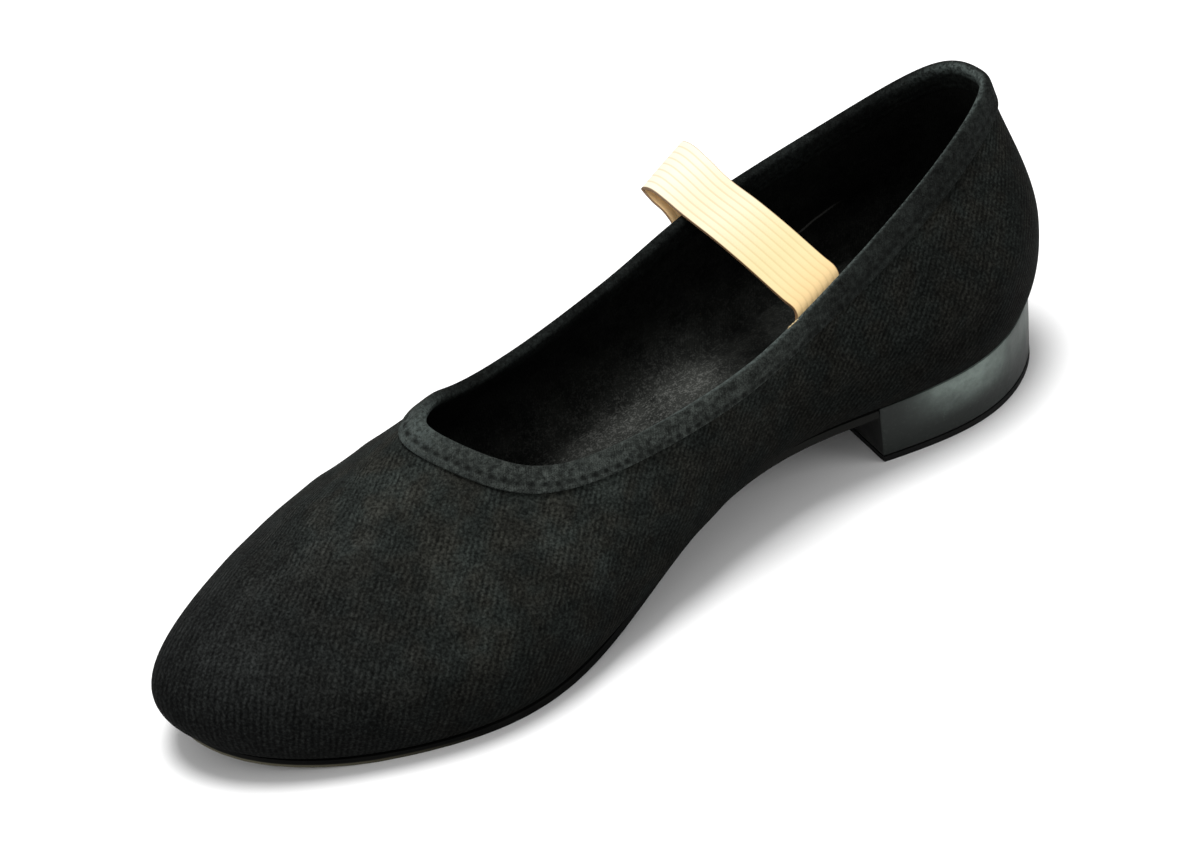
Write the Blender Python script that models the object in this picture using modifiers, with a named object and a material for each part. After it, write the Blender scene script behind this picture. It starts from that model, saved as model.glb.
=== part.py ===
"""Low-heeled canvas character shoe, left foot, with an elastic strap over the instep.

Metres, +Z up, toe towards +X, outer (little toe) side towards +Y.
The origin is the middle of the shoe's box, on the floor.
"""
from collections import namedtuple
from math import cos, pi, radians, sin

import bpy
import numpy as np

# Length and widths of the last
UPPER_LENGTH = 0.2460       # heel back to toe tip, at the fullest line
BALL_WIDTH = 0.0866         # across the fullest line at the ball
FULL_LINE_HEIGHT = 0.0160   # fullest line above the feather edge, at the heel
FEATHER_TUCK = 0.0095       # how far the wall turns in under the waist

# Heights
HEEL_HEIGHT = 0.0211        # floor to the feather edge at the heel back
TOE_SPRING = 0.0077         # lift of the toe tip above the tread
BACK_HEIGHT = 0.0552        # topline above the heel seat, at the back
INSTEP_HEIGHT = 0.0526      # topline above the sole, at the middle of the throat

# Opening
OPENING_LENGTH = 0.1598     # topline, back to throat
OPENING_WIDTH = 0.0590      # topline, across the waist
BACK_LEAN = 0.0080          # how far the topline stands in front of the heel back

# Thicknesses
WALL = 0.0014               # canvas with its lining
SOLE_THICKNESS = 0.0022
INSOLE_THICKNESS = 0.0018
BINDING_THICKNESS = 0.0006
BINDING_WIDTH = 0.0058      # binding on the outside of the collar
BINDING_RETURN = 0.0060     # binding on the inside of the collar
FIT_GAP = 0.0003            # clearance between two pieces that touch
SOCK_GAP = 0.0006           # clearance of the insole to the curved walls

# Heel
BREAST_REACH = 0.0640       # heel back to the front face of the heel
BREAST_SKEW = 0.0036        # how much further back the front face lies on the inner side
HEEL_TAPER = 0.0009         # narrowing of each side, top to bottom
HEEL_EDGE = 0.0005          # rounding of the heel's corners
TOP_PIECE_THICKNESS = 0.0016

# Sole
SOLE_MARGIN = 0.0004        # how far the sole's edge stands out past the feather edge

# Strap
STRAP_WIDTH = 0.0148
STRAP_THICKNESS = 0.0012
STRAP_REACH = 0.0648        # topline back to the middle of the strap
STRAP_LEAN = 0.0004         # how much further back the strap crosses the inner side
STRAP_TAIL = 0.0200         # sewn end inside the outer side, below the topline
STRAP_SLANT = 0.0040        # how far forward the sewn end points
STRAP_BEND = 0.0080         # bend inside the outer collar
STRAP_ARCH = 0.0008         # rise of the strap above the opening
STRAP_SLACK = 0.0165        # how far the slack loop stands out past the inner side
STRAP_SKEW = 0.0065         # how much further out its rear edge goes
STRAP_GRIP = 0.0092         # from the binding down to the seam of the other end
STRAP_END = 0.0090          # sewn end on the inner side, below that seam

# Steps of the mesh
SPAN_STEPS = 5              # columns between two sections
FINE_STEPS = 24             # the same, for curves that only guide
TUCK_STEPS = 3              # rows from the feather edge to the fullest line
RISE_STEPS = 10             # rows from the fullest line to the topline
HEEL_STEPS = 16             # stations of each side of the heel
SOLE_STEPS = 34             # stations of each side of the outsole
STRAP_STEPS = 4             # stations between two points of the strap's run

# Sections from the heel back to the toe tip. Shares of: UPPER_LENGTH (along), half of
# BALL_WIDTH (outer, inner), HEEL_HEIGHT over the tread (heel), TOE_SPRING (spring),
# FULL_LINE_HEIGHT (full) and FEATHER_TUCK (tuck).
Section = namedtuple("Section", "along outer inner heel spring full tuck")
SECTIONS = (
    Section(0.000, 0.000, 0.000, 1.000, 0.00, 1.03, 0.52),   # heel back
    Section(0.029, 0.430, 0.423, 0.996, 0.00, 1.04, 0.42),   # back quarter
    Section(0.150, 0.765, 0.681, 0.862, 0.00, 0.96, 0.28),   # heel side
    Section(0.326, 0.702, 0.665, 0.745, 0.00, 0.94, 0.74),   # rear waist
    Section(0.465, 0.795, 0.715, 0.485, 0.00, 0.92, 1.00),   # waist
    Section(0.605, 0.977, 0.838, 0.085, 0.00, 0.83, 0.50),   # behind the ball
    Section(0.734, 1.076, 0.924, -0.012, 0.00, 0.69, 0.36),  # ball
    Section(0.867, 0.825, 0.742, -0.004, 0.03, 0.57, 0.38),  # toe side
    Section(0.965, 0.436, 0.368, 0.000, 0.56, 0.51, 0.40),   # toe corner
    Section(1.000, 0.000, 0.000, 0.000, 1.00, 0.48, 0.45),   # toe tip
)

# Topline at the same sections. Shares of: OPENING_LENGTH (reach), OPENING_WIDTH (side),
# BACK_HEIGHT (back) and INSTEP_HEIGHT (instep).
Topline = namedtuple("Topline", "outer_reach outer_side inner_reach inner_side back instep")
TOPLINES = (
    Topline(0.000, 0.000, 0.000, 0.000, 1.000, 0.000),
    Topline(0.036, 0.172, 0.034, 0.190, 0.985, 0.000),
    Topline(0.200, 0.312, 0.184, 0.378, 0.700, 0.150),
    Topline(0.410, 0.446, 0.412, 0.470, 0.240, 0.490),
    Topline(0.575, 0.518, 0.570, 0.430, 0.050, 0.630),
    Topline(0.745, 0.518, 0.735, 0.338, 0.000, 0.745),
    Topline(0.885, 0.438, 0.878, 0.285, 0.000, 0.825),
    Topline(0.953, 0.300, 0.936, 0.218, 0.000, 0.915),
    Topline(0.987, 0.150, 0.975, 0.124, 0.000, 0.975),
    Topline(1.000, 0.000, 1.000, 0.000, 0.000, 1.000),
)

# Bend of the strap where it rises inside the outer collar, in shares of STRAP_BEND, and
# its slack loop from the top of the inner collar to the wall below the binding, in
# shares of STRAP_SLACK (away) and of the height from the collar to the seam (up).
Fold = namedtuple("Fold", "away up")
BEND = (
    Fold(0.56, -0.15),
    Fold(1.00, 0.03),
)
LOOP = (
    Fold(0.40, 0.05),
    Fold(0.82, 0.04),
    Fold(1.00, -0.06),
    Fold(0.80, -0.17),
    Fold(0.45, -0.24),
    Fold(0.22, -0.46),
)

# Curve of the wall above the fullest line: length of its lower and upper handle as a
# share of the wall's height, and the slope at the topline in degrees.
Wall = namedtuple("Wall", "lower upper slope")
WALLS = (
    Wall(0.34, 0.31, 81),
    Wall(0.35, 0.31, 81),
    Wall(0.34, 0.32, 80),
    Wall(0.34, 0.32, 77),
    Wall(0.34, 0.32, 68),
    Wall(0.34, 0.39, 52),
    Wall(0.27, 0.49, 34),
    Wall(0.20, 0.50, 26),
    Wall(0.17, 0.49, 26),
    Wall(0.13, 0.49, 26),
)

HALF_SPANS = len(SECTIONS) - 1
COLUMNS = 2 * HALF_SPANS * SPAN_STEPS
TIP = COLUMNS // 2
TURN_SHARE = 0.2            # where the wall starts to turn in, share of the full line's height
TREAD = SOLE_THICKNESS + FIT_GAP
BINDING_STAND = FIT_GAP + BINDING_THICKNESS / 2     # middle of the binding off the wall
CROWN_SHARE = 0.3           # how much higher the binding's crown stands, share of the wall
CROWN = BINDING_STAND + CROWN_SHARE * WALL          # middle of the binding above the wall
STRAP_STAND = FIT_GAP + STRAP_THICKNESS / 2         # middle of the strap off what it lies on


# Curves

def unit(vectors):
    return vectors / np.linalg.norm(vectors, axis=-1, keepdims=True)


def run_length(points):
    """Distance of each point from the first one, measured along the line."""
    steps = np.linalg.norm(np.diff(points, axis=0), axis=1)
    return np.concatenate([[0.0], np.cumsum(steps)])


def points_at(wanted, run, points):
    """Points of a line at the wanted distances along it."""
    return np.stack([np.interp(wanted, run, values) for values in np.transpose(points)], axis=-1)


def hermite(start, end, start_pull, end_pull, share):
    return (
        (2 * share**3 - 3 * share**2 + 1) * start
        + (share**3 - 2 * share**2 + share) * start_pull
        + (3 * share**2 - 2 * share**3) * end
        + (share**3 - share**2) * end_pull
    )


def closed_spline(knots, steps):
    """Smooth closed curve through the knots, with the same number of steps in each span."""
    knots = np.asarray(knots, float)
    count = len(knots)
    system = 4 * np.eye(count) + np.roll(np.eye(count), 1, axis=1) + np.roll(np.eye(count), -1, axis=1)
    pull = np.linalg.solve(system, 3 * (np.roll(knots, -1) - np.roll(knots, 1)))
    following = np.roll(knots, -1)
    following_pull = np.roll(pull, -1)
    spans = [
        hermite(knots, following, pull, following_pull, step / steps)
        for step in range(steps)
    ]
    return np.stack(spans, axis=1).ravel()


def open_spline(knots, steps):
    """Smooth open curve through points that lie unevenly far apart."""
    knots = np.asarray(knots, float)
    run = run_length(knots)
    pull = np.gradient(knots, run, axis=0)
    points = []
    for i in range(len(knots) - 1):
        length = run[i + 1] - run[i]
        for step in range(steps):
            share = step / steps
            points.append(
                hermite(knots[i], knots[i + 1], pull[i] * length, pull[i + 1] * length, share)
            )
    points.append(knots[-1])
    return np.array(points)


def ring_curve(outer, inner=None, steps=SPAN_STEPS):
    """Smooth values round the shoe: heel back, outer side, toe tip, inner side."""
    inner = outer if inner is None else inner
    return closed_spline(list(outer) + list(inner)[-2:0:-1], steps)


def inward_normals(plan):
    """Directions into the shoe, square to a closed outline seen from above."""
    run = unit(np.roll(plan, -1, axis=0) - np.roll(plan, 1, axis=0))
    return np.stack([run[:, 1], -run[:, 0]], axis=1)


# The last

def full_plan(steps=SPAN_STEPS):
    """Outline of the fullest line, seen from above."""
    along = ring_curve([row.along * UPPER_LENGTH for row in SECTIONS], steps=steps)
    side = ring_curve(
        [row.outer * BALL_WIDTH / 2 for row in SECTIONS],
        [-row.inner * BALL_WIDTH / 2 for row in SECTIONS],
        steps,
    )
    return np.stack([along, side], axis=1)


def feather_plan(margin=0.0, steps=SPAN_STEPS):
    """Outline of the feather edge seen from above, grown by a margin."""
    plan = full_plan(steps)
    tuck = ring_curve([row.tuck * FEATHER_TUCK for row in SECTIONS], steps=steps)
    return plan + inward_normals(plan) * (tuck - margin)[:, None]


def seat_height(along):
    """Height of the feather edge above the floor, at a distance from the heel back."""
    half = HALF_SPANS * FINE_STEPS + 1
    heights = [
        TREAD + row.heel * (HEEL_HEIGHT - TREAD) + row.spring * TOE_SPRING
        for row in SECTIONS
    ]
    line = ring_curve(heights, steps=FINE_STEPS)[:half]
    return np.interp(along, full_plan(FINE_STEPS)[:half, 0], line)


def topline():
    """Finished edge of the collar, a point for each column."""
    along = ring_curve(
        [BACK_LEAN + row.outer_reach * OPENING_LENGTH for row in TOPLINES],
        [BACK_LEAN + row.inner_reach * OPENING_LENGTH for row in TOPLINES],
    )
    side = ring_curve(
        [row.outer_side * OPENING_WIDTH for row in TOPLINES],
        [-row.inner_side * OPENING_WIDTH for row in TOPLINES],
    )
    above = ring_curve([row.back * BACK_HEIGHT + row.instep * INSTEP_HEIGHT for row in TOPLINES])
    return np.stack([along, side, seat_height(along) + above], axis=1)


def upper_face():
    """Outer face of the upper: columns round the shoe, rows from feather edge to collar."""
    full = full_plan()
    feather = feather_plan()
    base = seat_height(feather[:, 0])
    rise = ring_curve([row.full * FULL_LINE_HEIGHT for row in SECTIONS])
    edge = TOPLINE - [0, 0, CROWN + BINDING_THICKNESS / 2]

    rim = np.column_stack([feather, base])
    turn = np.column_stack([full, base + TURN_SHARE * rise])
    widest = np.column_stack([full, base + rise])
    rows = []
    for step in range(TUCK_STEPS):
        t = step / TUCK_STEPS
        rows.append((1 - t)**2 * rim + 2 * t * (1 - t) * turn + t**2 * widest)

    slope = np.radians(ring_curve([row.slope for row in WALLS]))[:, None]
    height = np.linalg.norm(widest - edge, axis=1)[:, None]
    fall = np.concatenate([unit(full - edge[:, :2]) * np.cos(slope), -np.sin(slope)], axis=1)
    lower = widest + ring_curve([row.lower for row in WALLS])[:, None] * height * [0, 0, 1]
    upper = edge + ring_curve([row.upper for row in WALLS])[:, None] * height * fall
    for step in range(RISE_STEPS + 1):
        t = step / RISE_STEPS
        rows.append(
            (1 - t)**3 * widest
            + 3 * t * (1 - t)**2 * lower
            + 3 * t**2 * (1 - t) * upper
            + t**3 * edge
        )
    return np.stack(rows, axis=1)


def face_normals(grid):
    """Outward directions at the points of a grid that is closed round the shoe."""
    round_shoe = np.roll(grid, -1, axis=0) - np.roll(grid, 1, axis=0)
    return unit(np.cross(np.gradient(grid, axis=1), round_shoe))


TOPLINE = topline()
UPPER = upper_face()
UPPER_NORMALS = face_normals(UPPER)


def below_topline(depth, offset):
    """Ring of points on the upper's outer face moved out by an offset, at one depth from
    the upper's top edge."""
    face = (UPPER + UPPER_NORMALS * offset)[:, ::-1]
    return np.array([points_at(depth, run_length(column), column) for column in face])


def ring_point(ring, column):
    """Point of a ring at a column number with a fraction."""
    low = int(column) % len(ring)
    share = column - int(column)
    return (1 - share) * ring[low] + share * ring[(low + 1) % len(ring)]


# Making of objects

def clear_scene():
    for thing in list(bpy.data.objects):
        bpy.data.objects.remove(thing, do_unlink=True)


def new_material(name, colour, roughness):
    material = bpy.data.materials.new(name)
    material.use_nodes = True
    shader = material.node_tree.nodes["Principled BSDF"]
    shader.inputs["Base Color"].default_value = (*colour, 1.0)
    shader.inputs["Roughness"].default_value = roughness
    shader.inputs["Metallic"].default_value = 0.0
    return material


def new_object(name, points, faces, material, collection):
    mesh = bpy.data.meshes.new(name)
    mesh.from_pydata([tuple(point) for point in points], [], faces)
    mesh.materials.append(material)
    mesh.shade_smooth()
    mesh.set_sharp_from_angle(angle=radians(40))
    thing = bpy.data.objects.new(name, mesh)
    collection.objects.link(thing)
    return thing


def solidify(thing, thickness, offset):
    """Gives an open surface its thickness; offset -1 is inwards, 0 is both ways."""
    wall = thing.modifiers.new("wall", "SOLIDIFY")
    wall.thickness = thickness
    wall.offset = offset
    wall.use_even_offset = True


def round_edges(thing, width):
    bevel = thing.modifiers.new("edges", "BEVEL")
    bevel.width = width
    bevel.segments = 2
    bevel.limit_method = "ANGLE"
    bevel.angle_limit = radians(40)


def band_faces(columns, rows, closed):
    """Quads of a grid of columns and rows, facing out of a ring that runs round the shoe."""
    faces = []
    for i in range(columns if closed else columns - 1):
        j = (i + 1) % columns
        for row in range(rows - 1):
            a = i * rows + row
            b = j * rows + row
            faces.append((a, a + 1, b + 1, b))
    return faces


def slab(name, levels, material, collection):
    """Closed slab from levels of two sides each, underside first.

    The sides run from the heel end to the toe end and have as many points. Each face
    is a ladder of quads across the shoe, so that it follows the arch of the sole.
    """
    length = len(levels[0][0])
    meet_back = np.allclose(levels[0][0][0], levels[0][1][0])
    meet_front = np.allclose(levels[0][0][-1], levels[0][1][-1])
    first = 1 if meet_back else 0
    last = length - 1 if meet_front else length
    rings = [np.concatenate([outer, inner[first:last][::-1]]) for outer, inner in levels]
    grid = np.stack(rings, axis=1)
    columns, rows = grid.shape[:2]
    faces = band_faces(columns, rows, closed=True)

    def inner_column(i):
        if (meet_back and i == 0) or (meet_front and i == length - 1):
            return i
        return length + last - 1 - i

    for i in range(length - 1):
        across = (i, inner_column(i), inner_column(i + 1), i + 1)
        corners = list(dict.fromkeys(across))
        faces.append(tuple(corner * rows + rows - 1 for corner in corners))
        faces.append(tuple(corner * rows for corner in corners[::-1]))
    return new_object(name, grid.reshape(-1, 3), faces, material, collection)


# Pieces

def make_upper(collection):
    canvas = new_material("canvas", (0.035, 0.036, 0.037), 0.92)
    columns, rows = UPPER.shape[:2]
    faces = band_faces(columns, rows, closed=True)
    upper = new_object("upper", UPPER.reshape(-1, 3), faces, canvas, collection)
    solidify(upper, WALL, -1)


def make_binding(collection):
    """Tape folded over the collar: outer leg, rounded crown, inner leg."""
    tape = new_material("binding_tape", (0.030, 0.034, 0.032), 0.85)
    outer = [below_topline(BINDING_WIDTH * share, BINDING_STAND) for share in (1.0, 0.5, 0.0)]
    back = -WALL - BINDING_STAND
    inner = [below_topline(BINDING_RETURN * share, back) for share in (0.0, 0.5, 1.0)]
    middle = (outer[-1] + inner[0]) / 2
    half = (outer[-1] - inner[0]) / 2
    rise = unit(UPPER[:, -1] - UPPER[:, -2]) * CROWN
    crown = [
        middle + half * cos(angle) + rise * sin(angle)
        for angle in (pi / 4, pi / 2, 3 * pi / 4)
    ]
    grid = np.stack(outer + crown + inner, axis=1)
    columns, rows = grid.shape[:2]
    faces = band_faces(columns, rows, closed=True)
    binding = new_object("topline_binding", grid.reshape(-1, 3), faces, tape, collection)
    solidify(binding, BINDING_THICKNESS, 0)


def two_sides(ring):
    """Outer and inner side of a closed ring, each from the heel back to the toe tip."""
    return ring[:TIP + 1], np.roll(ring[::-1], 1, axis=0)[:TIP + 1]


def make_insole(collection):
    """Sock over the inside of the sole, as wide as the walls leave at its height."""
    sock = new_material("insole_sock", (0.040, 0.042, 0.044), 0.95)
    plan = feather_plan()
    into = inward_normals(full_plan())
    inside = UPPER - UPPER_NORMALS * (WALL + SOCK_GAP)
    levels = []
    for level in (0.0, 0.5 * INSOLE_THICKNESS, INSOLE_THICKNESS):
        edge = []
        for column, foot, direction in zip(inside, plan, into):
            heights = column[:, 2] - seat_height(column[:, 0])
            inset = (column[:, :2] - foot) @ direction
            edge.append(foot + direction * np.interp(level, heights, inset))
        edge = np.array(edge)
        levels.append(two_sides(np.column_stack([edge, seat_height(edge[:, 0]) + level])))
    slab("insole", levels, sock, collection)


def feather_side(margin, inner, start, end, count):
    """Points on one side of the grown feather outline, between two distances from the
    heel back; None is the very end."""
    plan = feather_plan(margin, FINE_STEPS)
    if inner:
        plan = np.roll(plan[::-1], 1, axis=0)
    side = plan[:HALF_SPANS * FINE_STEPS + 1]
    run = run_length(side)
    first = 0.0 if start is None else np.interp(start, side[:, 0], run)
    last = run[-1] if end is None else np.interp(end, side[:, 0], run)
    return points_at(np.linspace(first, last, count), run, side)


def raised(sides, height):
    """Two sides in plan, given their height by a function of the distance along."""
    return tuple(np.column_stack([side, height(side[:, 0])]) for side in sides)


def make_outsole(collection):
    """Thin sole from the heel's front face to the toe, planed flat at the tread."""
    rubber = new_material("outsole_rubber", (0.020, 0.020, 0.019), 0.75)

    def top(along):
        return seat_height(along) - FIT_GAP

    def bottom(along):
        return np.maximum(top(along) - SOLE_THICKNESS, 0.0)

    outer = feather_side(SOLE_MARGIN, False, BREAST_REACH + FIT_GAP, None, SOLE_STEPS)
    inner_start = BREAST_REACH - BREAST_SKEW + FIT_GAP
    inner = feather_side(SOLE_MARGIN, True, inner_start, None, SOLE_STEPS)
    sides = (outer, inner)
    slab("outsole", [raised(sides, bottom), raised(sides, top)], rubber, collection)


def heel_sides(margin):
    outer = feather_side(margin, False, None, BREAST_REACH, HEEL_STEPS)
    inner = feather_side(margin, True, None, BREAST_REACH - BREAST_SKEW, HEEL_STEPS)
    return outer, inner


def make_heel(collection):
    """Block under the heel seat with a straight front face, and its top piece."""
    lacquer = new_material("heel_lacquer", (0.105, 0.120, 0.112), 0.38)
    rubber = new_material("top_piece_rubber", (0.018, 0.018, 0.018), 0.70)

    def seat(along):
        return seat_height(along) - FIT_GAP

    def foot(along):
        return np.full_like(along, TOP_PIECE_THICKNESS + FIT_GAP)

    def worn(along):
        return np.full_like(along, TOP_PIECE_THICKNESS)

    def floor(along):
        return np.zeros_like(along)

    foot_sides = heel_sides(-HEEL_TAPER)
    levels = [raised(foot_sides, foot), raised(heel_sides(0.0), seat)]
    round_edges(slab("heel_block", levels, lacquer, collection), HEEL_EDGE)
    levels = [raised(foot_sides, floor), raised(foot_sides, worn)]
    slab("heel_top_piece", levels, rubber, collection)


def topline_column(inner, shift):
    """Column number, with a fraction, where one edge of the strap meets the topline."""
    columns = np.arange(TIP + 1)
    edge = TOPLINE[-columns if inner else columns]
    run = run_length(edge)
    centre = BACK_LEAN + STRAP_REACH - (STRAP_LEAN if inner else 0.0)
    column = np.interp(np.interp(centre, edge[:, 0], run) + shift, run, columns)
    return COLUMNS - column if inner else column


def strap_edge(shift):
    """Middle line of the strap at one distance from its middle: from its sewn end inside
    the outer side, over the opening and the inner collar, round the slack loop and down
    the inner side to its other sewn end."""
    on_wall = -WALL - STRAP_STAND
    on_binding = on_wall - BINDING_THICKNESS - FIT_GAP
    hem = BINDING_RETURN + STRAP_THICKNESS
    knots = []
    for depth, offset in (
        (STRAP_TAIL, on_wall),
        ((STRAP_TAIL + hem) / 2, on_wall),
        (hem, on_binding),
        (hem / 2, on_binding),
    ):
        column = topline_column(False, shift + STRAP_SLANT * depth / STRAP_TAIL)
        knots.append(ring_point(below_topline(depth, offset), column))

    column = topline_column(False, shift)
    collar = ring_point(TOPLINE, column)
    inward = -unit(ring_point(UPPER_NORMALS[:, -1], column) * [1, 1, 0])
    for fold in BEND:
        knots.append(collar + (inward * fold.away + [0, 0, fold.up]) * STRAP_BEND)

    column = topline_column(True, shift)
    start = knots[-1]
    over = ring_point(TOPLINE, column) + [0, 0, STRAP_STAND]
    for share in (1 / 3, 2 / 3):
        arch = STRAP_ARCH * 4 * share * (1 - share)
        knots.append(start + (over - start) * share + [0, 0, arch])
    knots.append(over)

    seam = BINDING_WIDTH + STRAP_GRIP
    slack = STRAP_SLACK + STRAP_SKEW * (0.5 - shift / STRAP_WIDTH)
    outward = unit(ring_point(UPPER_NORMALS[:, -1], column) * [1, 1, 0])
    for fold in LOOP:
        knots.append(over + outward * fold.away * slack + [0, 0, fold.up * seam])
    for share in (0.0, 0.5, 1.0):
        ring = below_topline(seam + STRAP_END * share, STRAP_STAND)
        knots.append(ring_point(ring, column))
    return open_spline(knots, STRAP_STEPS)


def make_strap(collection):
    elastic = new_material("strap_elastic", (0.86, 0.70, 0.52), 0.80)
    edges = [strap_edge(STRAP_WIDTH * share) for share in (0.5, 0.0, -0.5)]
    grid = np.stack(edges, axis=1)
    columns, rows = grid.shape[:2]
    faces = band_faces(columns, rows, closed=False)
    strap = new_object("elastic_strap", grid.reshape(-1, 3), faces, elastic, collection)
    solidify(strap, STRAP_THICKNESS, 0)


def centre_over_origin(collection):
    """Moves the shoe so that the middle of its box stands over the origin."""
    view = bpy.context.evaluated_depsgraph_get()
    corners = []
    for thing in collection.objects:
        shape = thing.evaluated_get(view)
        corners += [shape.matrix_world @ vertex.co for vertex in shape.data.vertices]
    corners = np.array(corners)
    middle = (corners.min(axis=0) + corners.max(axis=0)) / 2
    for thing in collection.objects:
        thing.location = (-middle[0], -middle[1], 0.0)


def main():
    clear_scene()
    collection = bpy.data.collections.new("character_shoe")
    bpy.context.scene.collection.children.link(collection)
    make_upper(collection)
    make_binding(collection)
    make_insole(collection)
    make_outsole(collection)
    make_heel(collection)
    make_strap(collection)
    centre_over_origin(collection)


main()
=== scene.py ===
import bmesh
import bpy
import numpy as np
from math import cos, pi, radians, sin
from mathutils import Matrix, Vector
from mathutils.bvhtree import BVHTree


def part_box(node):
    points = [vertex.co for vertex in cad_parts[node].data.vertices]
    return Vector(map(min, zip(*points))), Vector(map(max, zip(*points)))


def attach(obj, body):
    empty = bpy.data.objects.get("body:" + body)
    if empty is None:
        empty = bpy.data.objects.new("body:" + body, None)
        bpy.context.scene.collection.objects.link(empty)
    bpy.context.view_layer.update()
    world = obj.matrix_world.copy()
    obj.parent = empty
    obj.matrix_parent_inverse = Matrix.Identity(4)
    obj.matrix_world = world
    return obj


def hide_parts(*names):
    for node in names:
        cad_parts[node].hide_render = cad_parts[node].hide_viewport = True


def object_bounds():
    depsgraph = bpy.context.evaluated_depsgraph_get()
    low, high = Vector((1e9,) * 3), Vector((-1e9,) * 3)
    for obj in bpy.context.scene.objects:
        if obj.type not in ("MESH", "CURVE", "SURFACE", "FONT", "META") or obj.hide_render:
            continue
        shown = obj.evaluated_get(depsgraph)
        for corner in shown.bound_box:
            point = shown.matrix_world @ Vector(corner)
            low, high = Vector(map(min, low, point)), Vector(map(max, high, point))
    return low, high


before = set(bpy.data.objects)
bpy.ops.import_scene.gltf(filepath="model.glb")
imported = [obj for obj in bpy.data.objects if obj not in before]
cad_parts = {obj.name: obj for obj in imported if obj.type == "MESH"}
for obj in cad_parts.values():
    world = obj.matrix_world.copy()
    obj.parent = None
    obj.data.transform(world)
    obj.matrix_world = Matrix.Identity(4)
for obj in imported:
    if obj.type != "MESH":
        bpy.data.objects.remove(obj)        # toe towards +X, outer side of the left foot towards +Y, in metres
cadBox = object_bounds()
print("frame loaded")

mm = 0.001
shoeLength = cadBox[1].x - cadBox[0].x
shoeMiddle = (cadBox[0] + cadBox[1]) / 2


# Camera, lights and floor

view = {
    "turn": 65.95,         # degrees from the toe round to the outer side
    "rise": 37.11,         # degrees above the floor
    "roll": -12.0,
    "distance": 0.6536,
    "lens": 83.0,
    "aim": (0.0012, 0.0020, 0.0310),
}


def setUpCamera():
    turn, rise, roll = (radians(view[key]) for key in ("turn", "rise", "roll"))
    back = Vector((cos(turn) * cos(rise), sin(turn) * cos(rise), sin(rise)))
    right = Vector((0, 0, 1)).cross(back).normalized()
    up = back.cross(right)
    across = right * cos(roll) + up * sin(roll)
    upright = up * cos(roll) - right * sin(roll)
    bpy.ops.object.camera_add(location=Vector(view["aim"]) + back * view["distance"])
    camera = bpy.context.object
    camera.name = "shoeCamera"
    camera.rotation_euler = Matrix((across, upright, back)).transposed().to_euler()
    camera.data.lens = view["lens"]
    camera.data.sensor_width = 36.0
    bpy.context.scene.camera = camera


lights = {
    "softboxOverhead": {"place": (-0.06, -0.14, 1.48), "size": 0.75, "power": 23.0},
    "softboxToe": {"place": (1.05, 0.35, 0.75), "size": 0.8, "power": 1.8},
    "softboxHeel": {"place": (-0.75, 0.85, 0.65), "size": 0.7, "power": 3.0},
    "ambient": 0.50,
}


def setUpLights():
    for name, light in lights.items():
        if name == "ambient":
            continue
        place = Vector(light["place"])
        bpy.ops.object.light_add(type="AREA", location=place)
        lamp = bpy.context.object
        lamp.name = name
        lamp.data.shape = "DISK"
        lamp.data.size = light["size"]
        lamp.data.energy = light["power"]
        lamp.rotation_euler = (place - shoeMiddle).to_track_quat("Z", "Y").to_euler()
    world = bpy.data.worlds.new("paleRoom")
    world.use_nodes = True
    sky = world.node_tree.nodes["Background"]
    sky.inputs["Color"].default_value = (1.0, 1.0, 1.0, 1.0)
    sky.inputs["Strength"].default_value = lights["ambient"]
    bpy.context.scene.world = world
    bpy.context.scene.view_settings.view_transform = "Standard"


floor = {
    "size": 6.0,
    "colour": (0.93, 0.93, 0.93),
    "roughness": 0.7,
}


def layFloor():
    bpy.ops.mesh.primitive_plane_add(size=floor["size"], location=(0, 0, -0.02 * mm))
    ground = bpy.context.object
    ground.name = "floor"
    paint = bpy.data.materials.new("floorPaint")
    paint.use_nodes = True
    shader = paint.node_tree.nodes["Principled BSDF"]
    shader.inputs["Base Color"].default_value = (*floor["colour"], 1.0)
    shader.inputs["Roughness"].default_value = floor["roughness"]
    ground.data.materials.append(paint)


setUpCamera()
setUpLights()
layFloor()
print("camera, lights and floor set up")


# Handling of meshes

def pickOnly(thing):
    for other in bpy.context.selected_objects:
        other.select_set(False)
    thing.select_set(True)
    bpy.context.view_layer.objects.active = thing


def copyOfNode(nodeName, pieceName):
    # merged copy of a solid, with its triangles joined to quads again
    piece = bpy.data.objects.new(pieceName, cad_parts[nodeName].data.copy())
    bpy.context.scene.collection.objects.link(piece)
    piece.data.materials.clear()
    while piece.data.uv_layers:
        piece.data.uv_layers.remove(piece.data.uv_layers[0])
    pickOnly(piece)
    if piece.data.has_custom_normals:
        bpy.ops.mesh.customdata_custom_splitnormals_clear()
    bpy.ops.object.mode_set(mode="EDIT")
    bpy.ops.mesh.select_all(action="SELECT")
    bpy.ops.mesh.remove_doubles(threshold=0.01 * mm)
    bpy.ops.mesh.tris_convert_to_quads(face_threshold=radians(45), shape_threshold=radians(80))
    bpy.ops.mesh.select_all(action="DESELECT")
    bpy.ops.object.mode_set(mode="OBJECT")
    piece.data.shade_smooth()
    return piece


def smoothOut(piece, levels):
    modifier = piece.modifiers.new("smoothing", "SUBSURF")
    modifier.levels = levels
    modifier.render_levels = levels
    pickOnly(piece)
    bpy.ops.object.modifier_apply(modifier=modifier.name)


def creaseSharpEdges(piece, degrees, amount):
    mesh = bmesh.new()
    mesh.from_mesh(piece.data)
    layer = mesh.edges.layers.float.get("crease_edge") or mesh.edges.layers.float.new("crease_edge")
    for edge in mesh.edges:
        if len(edge.link_faces) == 2 and edge.calc_face_angle() > radians(degrees):
            edge[layer] = amount
    mesh.to_mesh(piece.data)
    mesh.free()


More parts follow.
